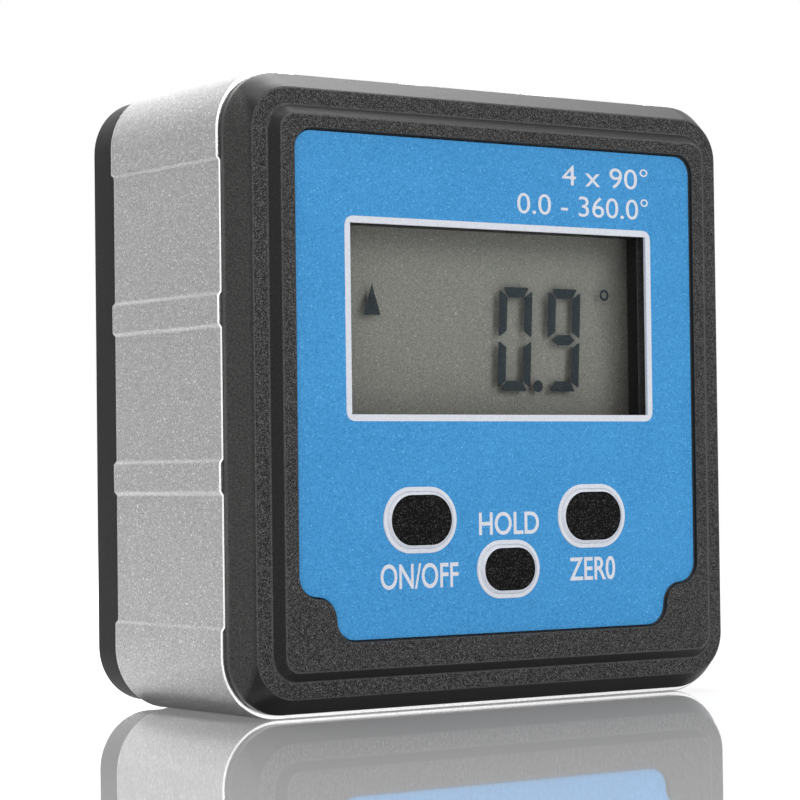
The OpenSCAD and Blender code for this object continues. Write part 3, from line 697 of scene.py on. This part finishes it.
steel, shader, place = new_finish("zinc_plated_steel", {"Metallic": 1})
brush = place.cloud(0.3 * MM, 4)
brush.mixed((0.42, 0.42, 0.42, 1), (0.58, 0.58, 0.57, 1)).feeds(shader, "Base Color")
(brush * 0.25 + 0.2).feeds(shader, "Roughness")
for node, name in (("tilt_sensor", "sensor_can"), ("clock_crystal", "crystal_can")):
    finished_copy(node, name, can_edge, 2).data.materials.append(steel)

ceramic, shader, place = new_finish("capacitor_ceramic", {"Roughness": 0.55})
place.cloud(0.3 * MM, 3).mixed((0.33, 0.21, 0.10, 1), (0.47, 0.31, 0.16, 1)).feeds(shader, "Base Color")
finished_copy("chip_capacitors", "ceramic_chips", chip_edge, 1).data.materials.append(ceramic)
finished_copy("board_screws", "board_screw_set", board_edge, 2).data.materials.append(steel)

# The rear cover. A black moulding with a fine matte grain that holds the battery bay and the screw
# columns; it closes the frame from behind.
shell_edge = 0.1 * MM
satin, shader, place = new_finish("satin_black", {"Specular IOR Level": 0.07})
pit = place.cells(0.14 * MM)
cloud = place.cloud(2.5 * MM, 3)
body = (pit * 0.6 + cloud * 0.4).mixed((0.008, 0.008, 0.0085, 1), (0.018, 0.018, 0.019, 1))
body.feeds(shader, "Base Color")
(cloud * 0.15 + 0.4).feeds(shader, "Roughness")
pit.bumped(0.3, 0.02 * MM).feeds(shader, "Normal")
back = finished_copy("rear_cover", "rear_shell", shell_edge, 2, lambda p: p.y > frame_high.y - edge_reach)
back.data.materials.append(satin)

# The cells. Two AAA cans in grey sleeves with a pale band at the nub's end, and bare steel ends; they lie
# head to tail.
cell_r = 5.25 * MM
cell_edge = 0.15 * MM
sleeve_lap = 0.45 * MM
bay_middle = 30 * MM
band_from, band_full = 15 * MM, 15.05 * MM
sleeve, shader, place = new_finish("grey_sleeve", {"Roughness": 0.35, "Coat Weight": 0.3})
mottle = place.cloud(2 * MM, 3)
grey = mottle.mixed((0.055, 0.058, 0.062, 1), (0.085, 0.088, 0.092, 1))
pale = mottle.mixed((0.40, 0.40, 0.39, 1), (0.48, 0.48, 0.47, 1))
upper = place.math("GREATER_THAN", place.part("Z"), bay_middle)
along = place.part("X") * (upper * 2 - 1)
along.between(band_from, band_full).mixed(grey, pale).feeds(shader, "Base Color")
for name in ("upper_cell", "lower_cell"):
    low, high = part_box(name)
    axis_y, axis_z = (low.y + high.y) / 2, (low.z + high.z) / 2
    can = finished_copy(name, name + "_can", cell_edge, 2)
    can.data.materials.append(sleeve)
    can.data.materials.append(steel)
    paint_faces(can, 1, lambda c, n: math.hypot(c.y - axis_y, c.z - axis_z) < cell_r - sleeve_lap)

# The contacts. Nickel plated spring steel: a plate behind each cell's end, two of them with tabs that
# reach the board, and a cone of wire on each plate that meets a cell's flat end.
plate_edge = 0.05 * MM
sprung, shader, place = new_finish("contact_nickel", {"Metallic": 1})
ripple = place.cloud(0.5 * MM, 4)
ripple.mixed((0.54, 0.53, 0.49, 1), (0.68, 0.67, 0.62, 1)).feeds(shader, "Base Color")
(ripple * 0.2 + 0.2).feeds(shader, "Roughness")
for name in ("negative", "positive", "bridge"):
    finished_copy(name + "_contact", name + "_plate", plate_edge, 1).data.materials.append(sprung)
for name in ("upper", "lower"):
    finished_copy(name + "_spring", name + "_cone", 0, 0).data.materials.append(sprung)

# The battery door. A black moulding like the rear cover, with grip grooves and a sunk arrow; its tongues
# run in the cover's rails and it slides out to the right.
door_edge = 0.08 * MM
door = finished_copy("battery_door", "sliding_door", door_edge, 2)
door.data.materials.append(satin)


# The case screws. Four zinc plated screws with cross recesses, sunk in the back's corners; they run through
# the rear cover's columns into the front cover's.
recess_w = 2.7 * MM
recess_depth = 0.9 * MM
recess_ratio = 4.5
screw_edge = 0.15 * MM
screw_x = 23.2 * MM
screw_low, screw_high = 6.8 * MM, 53.2 * MM


def cross_recess(screws, places, head_y, width, depth):
    """Sinks a cross into the heads of the screws, which are seen from behind."""
    blades = []
    for x, z in places:
        for size in ((width, depth * 2, width / recess_ratio), (width / recess_ratio, depth * 2, width)):
            bpy.ops.object.select_all(action="DESELECT")
            bpy.ops.mesh.primitive_cube_add(size=1)
            blade = bpy.context.object
            blade.data.transform(Matrix.Translation((x, head_y, z)) @ Matrix.Diagonal((*size, 1)))
            blades.append(blade)
    for blade in blades:
        bpy.ops.object.select_all(action="DESELECT")
        screws.select_set(True)
        bpy.context.view_layer.objects.active = screws
        cut = screws.modifiers.new("recess", "BOOLEAN")
        cut.operation = "DIFFERENCE"
        cut.object = blade
        bpy.ops.object.modifier_apply(modifier=cut.name)
        bpy.data.objects.remove(blade)


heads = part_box("case_screws")[1].y
case_screws = finished_copy("case_screws", "case_screw_set", screw_edge, 2)
case_screws.data.materials.append(steel)
cross_recess(
    case_screws,
    [(x, z) for x in (-screw_x, screw_x) for z in (screw_low, screw_high)],
    heads,
    recess_w,
    recess_depth,
)
